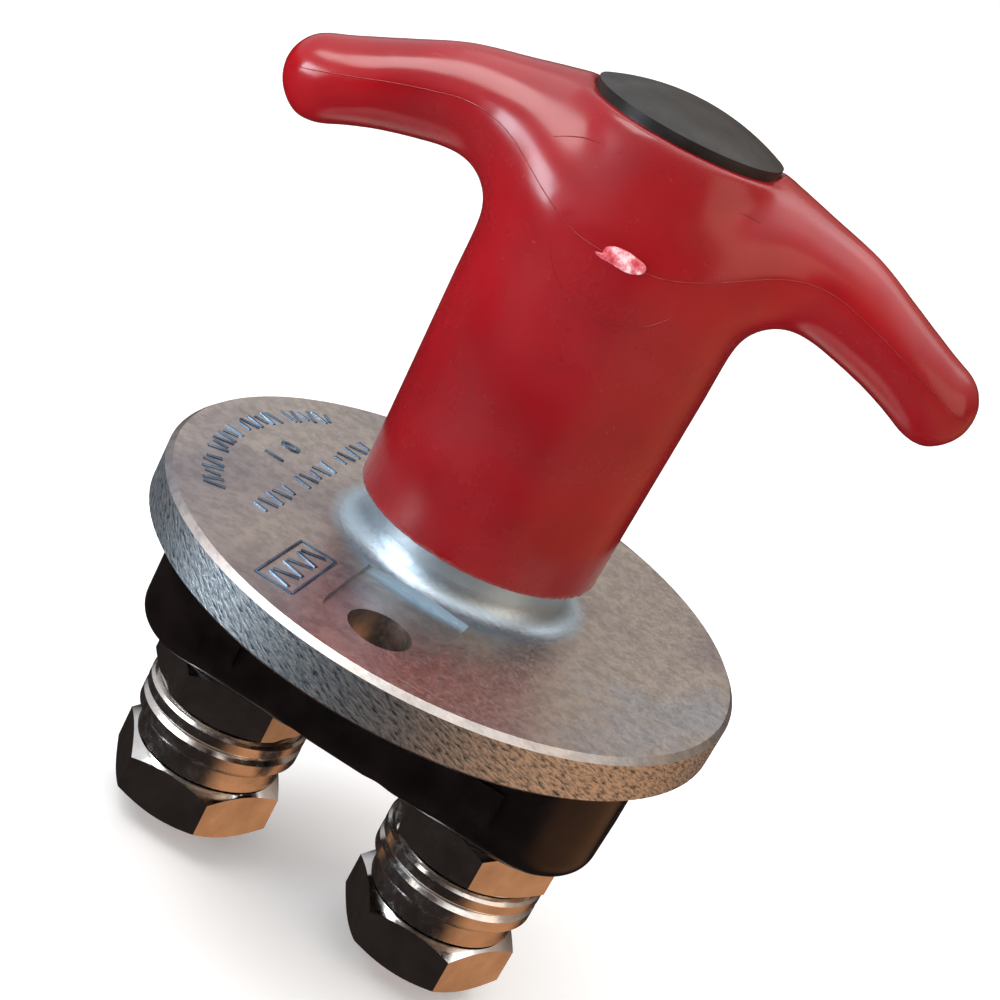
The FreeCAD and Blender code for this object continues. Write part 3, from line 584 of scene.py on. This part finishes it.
def stamped_bar(long, wide, place, angle):
    """One low bar at a place on the plate, turned by an angle in degrees."""
    bpy.ops.mesh.primitive_cube_add(size=1)
    bar = bpy.context.object
    bar.scale = (long, wide, MARK_PROUD + MARK_SUNK)
    bpy.ops.object.transform_apply(scale=True)
    pick_faces(bar, lambda face: face.normal.z > 0.9)
    bpy.ops.mesh.bevel(offset=0.08 * MM, segments=2)
    leave_edit()
    bar.location = (place[0], place[1], PLATE_TOP + (MARK_PROUD - MARK_SUNK) / 2)
    bar.rotation_euler.z = math.radians(angle)
    bpy.ops.object.transform_apply(location=True, rotation=True)
    return bar


def ring_scale():
    """Strokes round the left of the plate, grouped like figures."""
    bars = []
    for step in range(27):
        if step % 7 == 6:
            continue
        angle = 148 + step * 2.55
        place = (
            SCALE_RADIUS * math.cos(math.radians(angle)),
            SCALE_RADIUS * math.sin(math.radians(angle)),
        )
        lean = 14 if step % 2 else -10
        long = (2.3 if step % 3 else 1.7) * MM
        bars.append(stamped_bar(long, 0.42 * MM, place, angle + lean))
    return bars


def bar_row():
    """A straight row of strokes beside the boss."""
    bars = []
    for step in range(17):
        if step % 6 == 5:
            continue
        place = (ROW_X, (-14.2 + step * 1.7) * MM)
        lean = 16 if step % 2 else -12
        long = (2.2 if step % 4 else 1.6) * MM
        bars.append(stamped_bar(long, 0.45 * MM, place, lean))
    return bars


def framed_strokes():
    """A small frame with slanted strokes in it."""
    middle = Vector((-10.0 * MM, -21.2 * MM))
    long, wide, line = 10.6 * MM, 4.0 * MM, 0.35 * MM
    bars = []
    for side in (-1, 1):
        bars.append(stamped_bar(line, long, middle + Vector((side * wide / 2, 0)), 0))
        bars.append(stamped_bar(wide, line, middle + Vector((0, side * long / 2)), 0))
    for step in range(6):
        place = middle + Vector((0, (step - 2.5) * 1.6 * MM))
        bars.append(stamped_bar(2.6 * MM, 0.5 * MM, place, 24 if step % 2 else -18))
    return bars


def stamped_figure(figure, place):
    """A figure as a low solid, read from the side of the plate."""
    bpy.ops.object.text_add()
    drawn = bpy.context.object
    drawn.data.body = figure
    drawn.data.size = 3.2 * MM
    drawn.data.align_x = "CENTER"
    drawn.data.align_y = "CENTER"
    drawn.data.extrude = (MARK_PROUD + MARK_SUNK) / 2
    drawn.data.offset = 0.04 * MM
    drawn.data.resolution_u = 4
    drawn.location = (place[0], place[1], PLATE_TOP + (MARK_PROUD - MARK_SUNK) / 2)
    drawn.rotation_euler.z = math.radians(-90)
    bpy.ops.object.convert(target="MESH")
    bpy.ops.object.transform_apply(location=True, rotation=True)
    return bpy.context.object


marks = ring_scale() + bar_row() + framed_strokes()
marks += [
    stamped_figure("0", (FIGURES_X, 2.2 * MM)),
    stamped_figure("1", (FIGURES_X, -2.0 * MM)),
]
stamped_marks = join(marks, "stamped_marks")
smooth(stamped_marks, 30)
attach(stamped_marks, "base")
print("stamped marks:", len(stamped_marks.data.polygons), "faces")

# %% [markdown]
# Pressed marks are darker and bluer than the plate. That dark blue is painted shade: it stands in for the
# shade inside the pressed recesses, which these proud bars don't have. They get the metal recipe with
# cooler tones, rather than a painted outline.

# %% Finish of the stamped marks, with painted shade
# dark blue tones: painted shade of the pressed recesses
marks_painted_shade = metal_finish(
    "marks_painted_shade_finish", (0.20, 0.30, 0.42), (0.06, 0.09, 0.14), 0.25, 0.45, grain_mm=0.01
)
dress(stamped_marks, marks_painted_shade)
print("made", marks_painted_shade.name)

# %% [markdown]
# On the real grip the arms grow out of the hub in one soft sweep, while the frame's solids meet there in
# sharp creases. Filleting such joins by hand is tedious on a dense mesh. A voxel remesh turns the whole
# grip into one even skin, and the Smooth modifier then melts the joins. A vertex group holds it back at
# the skirt, the bore and the seat of the cap, so those edges stay crisp.

# %% Grip with blended shoulders
GRIP_TURN = math.radians(8.8)
along = Vector((math.cos(GRIP_TURN), math.sin(GRIP_TURN), 0))
forward = Vector((math.sin(GRIP_TURN), -math.cos(GRIP_TURN), 0))
VOXEL = 0.4 * MM
SMOOTHINGS = 170


def fade(value, start_mm, length_mm):
    """Rises from 0 to 1 over a length that begins at start."""
    return min(max((value - start_mm * MM) / (length_mm * MM), 0), 1)


def blend_weight(place):
    """How strongly a point of the grip is smoothed: most at the shoulders, little on the arms."""
    reach = abs(place.dot(along))
    from_axis = math.hypot(place.x, place.y)
    if from_axis < 12.2 * MM and place.z < 48 * MM:
        return 0.0
    seat = fade(from_axis, 10.6, 2)
    rise = fade(place.z, 33, 5)
    arm = fade(reach, 16, 6)
    tip = fade(reach, 28, 2)
    return rise * seat * (1 - 0.75 * arm + 0.3 * tip)


def blended_grip():
    """A copy of the frame's grip whose sharp joins are melted together."""
    made = loose_copy("t_handle")
    weave = made.modifiers.new("even_mesh", "REMESH")
    weave.mode = "VOXEL"
    weave.voxel_size = VOXEL
    bpy.ops.object.modifier_apply(modifier=weave.name)
    shoulders = made.vertex_groups.new(name="shoulders")
    for corner in made.data.vertices:
        shoulders.add([corner.index], blend_weight(corner.co), "REPLACE")
    melt = made.modifiers.new("melt", "SMOOTH")
    melt.factor = 0.5
    melt.iterations = SMOOTHINGS
    melt.vertex_group = "shoulders"
    bpy.ops.object.modifier_apply(modifier=melt.name)
    made.vertex_groups.clear()
    settle(made, "grip")
    smooth(made, 50)
    dress(made, finishes["red_plastic"])
    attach(made, "handle")
    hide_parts("t_handle")
    return made


grip = blended_grip()
print("grip:", len(grip.data.polygons), "faces")

# %% [markdown]
# A moulded grip shows where the two halves of its mould met: a hair-thin raised line along the middle of
# each arm, which sweeps down over the shoulder to the point where the plastic came in. That point is torn
# pale when the sprue is broken off. The line has to lie on a doubly curved surface, so its points are
# dropped on to the grip with a ray from in front, and a very thin curve is run through them.

# %% Mould lines on the grip
# (reach along the arm, height) where the line bends, in millimetres
LINE_BENDS = [
    (0, 44.2), (4, 44.0), (8, 45.4), (12, 47.4), (15, 48.6),
    (19, 48.9), (26, 46.9), (36, 43.3), (37.4, 43.1),
]
RAY_START_MM = 60
PROUD_MM = 0.01


def on_grip(reach_mm, height_mm, side):
    """The place on the grip's skin at that reach along the arms and height, from in front or behind."""
    start = along * reach_mm * MM + forward * side * RAY_START_MM * MM + Vector((0, 0, height_mm * MM))
    hit, place, normal, _ = grip.ray_cast(start, -forward * side)
    return (place, normal) if hit else None


def line_height(reach_mm):
    """Height of the mould line: along the arm's middle, then down to the gate."""
    far = abs(reach_mm)
    for (near, low), (next_far, high) in zip(LINE_BENDS, LINE_BENDS[1:]):
        if far <= next_far:
            return low + (high - low) * (far - near) / (next_far - near)
    return LINE_BENDS[-1][1]


def smooth_height(reach_mm):
    """The same line with its corners rounded, by averaging over four millimetres."""
    steps = [reach_mm + shift / 2 for shift in range(-4, 5)]
    return sum(line_height(step) for step in steps) / len(steps)


def thin_line(points, radius, name):
    """A hair-thin bead through points on the grip."""
    curve = bpy.data.curves.new(name, "CURVE")
    curve.dimensions = "3D"
    curve.bevel_depth = radius
    curve.bevel_resolution = 1
    curve.use_fill_caps = True
    run = curve.splines.new("NURBS")
    run.points.add(len(points) - 1)
    for knot, place in zip(run.points, points):
        knot.co = (*place, 1)
    run.order_u = 3
    run.use_endpoint_u = True
    run.resolution_u = 3
    bead = bpy.data.objects.new(name, curve)
    bpy.context.collection.objects.link(bead)
    only(bead)
    bpy.ops.object.convert(target="MESH")
    bead = settle(bpy.context.object, name)
    smooth(bead, 60)
    dress(bead, finishes["red_plastic"])
    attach(bead, "handle")
    return bead


for side, name in ((1, "front"), (-1, "back")):
    points = []
    for step in range(-74, 75):
        met = on_grip(step / 2, smooth_height(step / 2), side)
        if met:
            points.append(met[0] + met[1] * PROUD_MM * MM)
    bead = thin_line(points, 0.055 * MM, f"mould_line_{name}")
    print(bead.name, len(points), "points")

# %% [markdown]
# The part of the mould round the point where the plastic came in leaves a faint oval mark below it. It is
# a bead as thin as the mould line, laid along part of an oval on the front of the grip.

# %% Witness ring
ring_points = []
for step in range(25):
    angle = math.radians(205 + step * 5.4)
    met = on_grip(0.6 + 7.4 * math.cos(angle), 45.2 + 7.0 * math.sin(angle), 1)
    if met:
        ring_points.append(met[0])
witness_ring = thin_line(ring_points, 0.045 * MM, "witness_ring")
print("witness ring:", len(ring_points), "points")


# %% [markdown]
# Near the top of the grip, streams of soft plastic met and left fine wandering lines. Each is a bead
# through a few given places, dropped on to the skin with the same ray.

# %% Flow lines
def flow_line(corners_mm, name):
    """A fine bead through a few places given as (reach, height) on the front of the grip."""
    places = [on_grip(reach, height, 1) for reach, height in corners_mm]
    return thin_line([met[0] for met in places if met], 0.04 * MM, name)


FLOW_LINES = {
    "flow_line_left": [(-10.4, 50.2), (-8.6, 51.3), (-6.4, 51.9), (-4.2, 52.1)],
    "flow_line_right": [(0.6, 52.2), (3.2, 52.1), (5.7, 51.2), (7.9, 52.3), (9.8, 51.9)],
}
for name, corners in FLOW_LINES.items():
    print(flow_line(corners, name).name)

# %% [markdown]
# The gate is where the sprue was broken off: a small ragged scar, paler than the skin. A sphere pressed
# flat makes it, with a few waves of different lengths round its edge. The waves are drawn with a fixed
# seed, so every run gives the same scar.

# %% Torn gate
GATE_HALF_LONG, GATE_HALF_DEEP, GATE_HALF_HIGH = 2.3, 0.32, 0.9
GATE_SUNK_MM = 0.08


def torn_finish(name):
    finish, tree, shader = new_finish(name, ior=1.5)
    torn = ramp(
        tree,
        noise(tree, 1.2, detail=8, roughness=0.7),
        [(0.38, (0.50, 0.02, 0.04)), (0.5, (0.72, 0.16, 0.2)), (0.64, (0.93, 0.66, 0.68))],
    )
    tree.links.new(torn, shader.inputs["Base Color"])
    rough = ramp(tree, noise(tree, 2.0, detail=5), [(0.3, 0.35), (0.7, 0.7)])
    tree.links.new(rough, shader.inputs["Roughness"])
    bump(tree, shader, noise(tree, 2.5, detail=6, roughness=0.7), 0.15, 0.8)
    return finish


def torn_gate():
    """The scar, as a flattened ragged lens a little sunk in the grip."""
    place, normal = on_grip(0.4, 44.2, 1)
    bpy.ops.mesh.primitive_ico_sphere_add(subdivisions=5, radius=1)
    gate = bpy.context.object
    ragged = random.Random(7)
    waves = [(ragged.uniform(2, 6), ragged.uniform(0, 6), ragged.uniform(0.05, 0.14)) for _ in range(6)]
    for corner in gate.data.vertices:
        spin = math.atan2(corner.co.z, corner.co.x)
        ragged_edge = sum(size * math.sin(turns * spin + start) for turns, start, size in waves)
        reach = 1 + ragged_edge * 0.6
        corner.co = (
            corner.co.x * GATE_HALF_LONG * reach,
            corner.co.y * GATE_HALF_DEEP,
            corner.co.z * GATE_HALF_HIGH * reach,
        )
    gate.scale = (MM, MM, MM)
    gate.rotation_euler = (0, math.radians(-8), GRIP_TURN)
    gate.location = place - normal * GATE_SUNK_MM * MM
    bpy.ops.object.transform_apply(location=True, rotation=True, scale=True)
    settle(gate, "torn_gate")
    smooth(gate, 50)
    dress(gate, torn_finish("torn_gate_finish"))
    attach(gate, "handle")
    return gate


gate = torn_gate()
print("torn gate:", len(gate.data.polygons), "faces")

# %% [markdown]
# The switch stands on a plain pale floor. A single plane is enough: it is large, so that no edge shows,
# and it has a faint mottle so that it isn't a dead flat tone. It glows a little, which keeps it as pale as
# the world behind it, and shiny metal doesn't see it.

# %% Floor
bpy.ops.mesh.primitive_plane_add(size=30, location=(0, 0, cad_low[2] - 0.05 * MM))
floor = bpy.context.object
floor.name = "floor"
floor_finish, tree, shader = new_finish("floor_finish")
tree.links.new(ramp(tree, noise(tree, 0.004), [(0.3, 0.89), (0.7, 0.91)]), shader.inputs["Base Color"])
shader.inputs["Roughness"].default_value = 0.9
shader.inputs["Emission Color"].default_value = (1, 1, 1, 1)
shader.inputs["Emission Strength"].default_value = 0.22
dress(floor, floor_finish)
floor.visible_glossy = False
print("floor at", round(floor.location.z, 5))

# %% [markdown]
# Bright metal shows whatever is round it, so a studio for metal is mostly about what it reflects: large
# soft lamps above for long clean highlights, and something dark below and behind the camera, so that
# facets turned that way stay deep. The world is therefore pale to the camera but dark low down for
# reflections, with a warm wall low on the right and a cool window on the left. Five soft lamps light it.

# %% World and lamps
world = bpy.data.worlds.new("studio")
bpy.context.scene.world = world
world.use_nodes = True
sky = world.node_tree
background = sky.nodes["Background"]
direction = sky.nodes.new("ShaderNodeTexCoord")
parts = sky.nodes.new("ShaderNodeSeparateXYZ")
sky.links.new(direction.outputs["Generated"], parts.inputs[0])
height = maths(sky, "ADD", maths(sky, "MULTIPLY", parts.outputs[2], 0.5), 0.5)
room_tones = [
    (0.5, (0.018, 0.014, 0.013)),
    (0.66, (0.20, 0.16, 0.13)),
    (0.8, (0.40, 0.33, 0.28)),
    (0.93, 0.9),
    (1.0, 1.0),
]
room = ramp(sky, height, room_tones)
across = maths(sky, "ADD", maths(sky, "MULTIPLY", parts.outputs[0], 0.5), 0.5)
low_down = ramp(sky, height, [(0.45, 1), (0.56, 0)])
right_wall = maths(sky, "MULTIPLY", ramp(sky, across, [(0.72, 0), (0.86, 1)]), low_down)
leftward = ramp(sky, across, [(0.3, 1), (0.46, 0)])
left_window = maths(sky, "MULTIPLY", leftward, ramp(sky, height, [(0.52, 0), (0.62, 1)]))
warm = mix(sky, right_wall, room, (0.40, 0.19, 0.09))
lit = mix(sky, maths(sky, "MULTIPLY", left_window, 0.6), warm, (0.62, 0.66, 0.72))
seen = sky.nodes.new("ShaderNodeLightPath")
pale = mix(sky, seen.outputs["Is Camera Ray"], lit, (0.77, 0.77, 0.77))
sky.links.new(pale, background.inputs["Color"])
background.inputs["Strength"].default_value = 1.3


def soft_lamp(name, place, power, size, colour):
    """A square lamp at a place, turned towards the middle of the switch."""
    bpy.ops.object.light_add(type="AREA", location=place)
    lamp = bpy.context.object
    lamp.name = name
    lamp.data.energy = power
    lamp.data.size = size
    lamp.data.color = colour
    aim = Vector((0, 0, 0.01)) - Vector(place)
    lamp.rotation_euler = aim.to_track_quat("-Z", "Y").to_euler()
    return lamp


soft_lamp("overhead", (0, 0.3, 2.6), 30.0, 3.5, (1.0, 0.99, 0.97))
soft_lamp("low_left", (-0.5, -0.42, 0.1), 1.9, 0.22, (0.82, 0.91, 1.0))
soft_lamp("key", (-0.35, -0.25, 0.55), 2.0, 0.35, (1.0, 0.98, 0.95))
soft_lamp("fill", (0.55, -0.15, 0.25), 0.6, 0.4, (1.0, 0.80, 0.62))
soft_lamp("back", (0.25, 0.5, 0.6), 0.4, 0.35, (0.92, 0.96, 1.0))
print("five lamps placed")

# %% [markdown]
# The camera looks down at the switch from the front, a little to the right, and is held at a slant, so
# the plate and the grip lean across the frame. Its place and angles are set directly, with no shift and
# no blur.

# %% Camera
CAMERA_PLACE = (0.0302, -0.1847, 0.0856)
CAMERA_DEGREES = (66.33, -25.92, 19.92)
LENS_MM = 71.2

bpy.ops.object.camera_add(location=CAMERA_PLACE)
camera = bpy.context.object
camera.name = "view"
camera.rotation_euler = [math.radians(angle) for angle in CAMERA_DEGREES]
camera.data.sensor_width = 36
camera.data.lens = LENS_MM
camera.data.clip_start = 0.01
bpy.context.scene.camera = camera
bpy.context.scene.view_settings.view_transform = "Standard"
print("camera at", [round(v, 4) for v in camera.location])
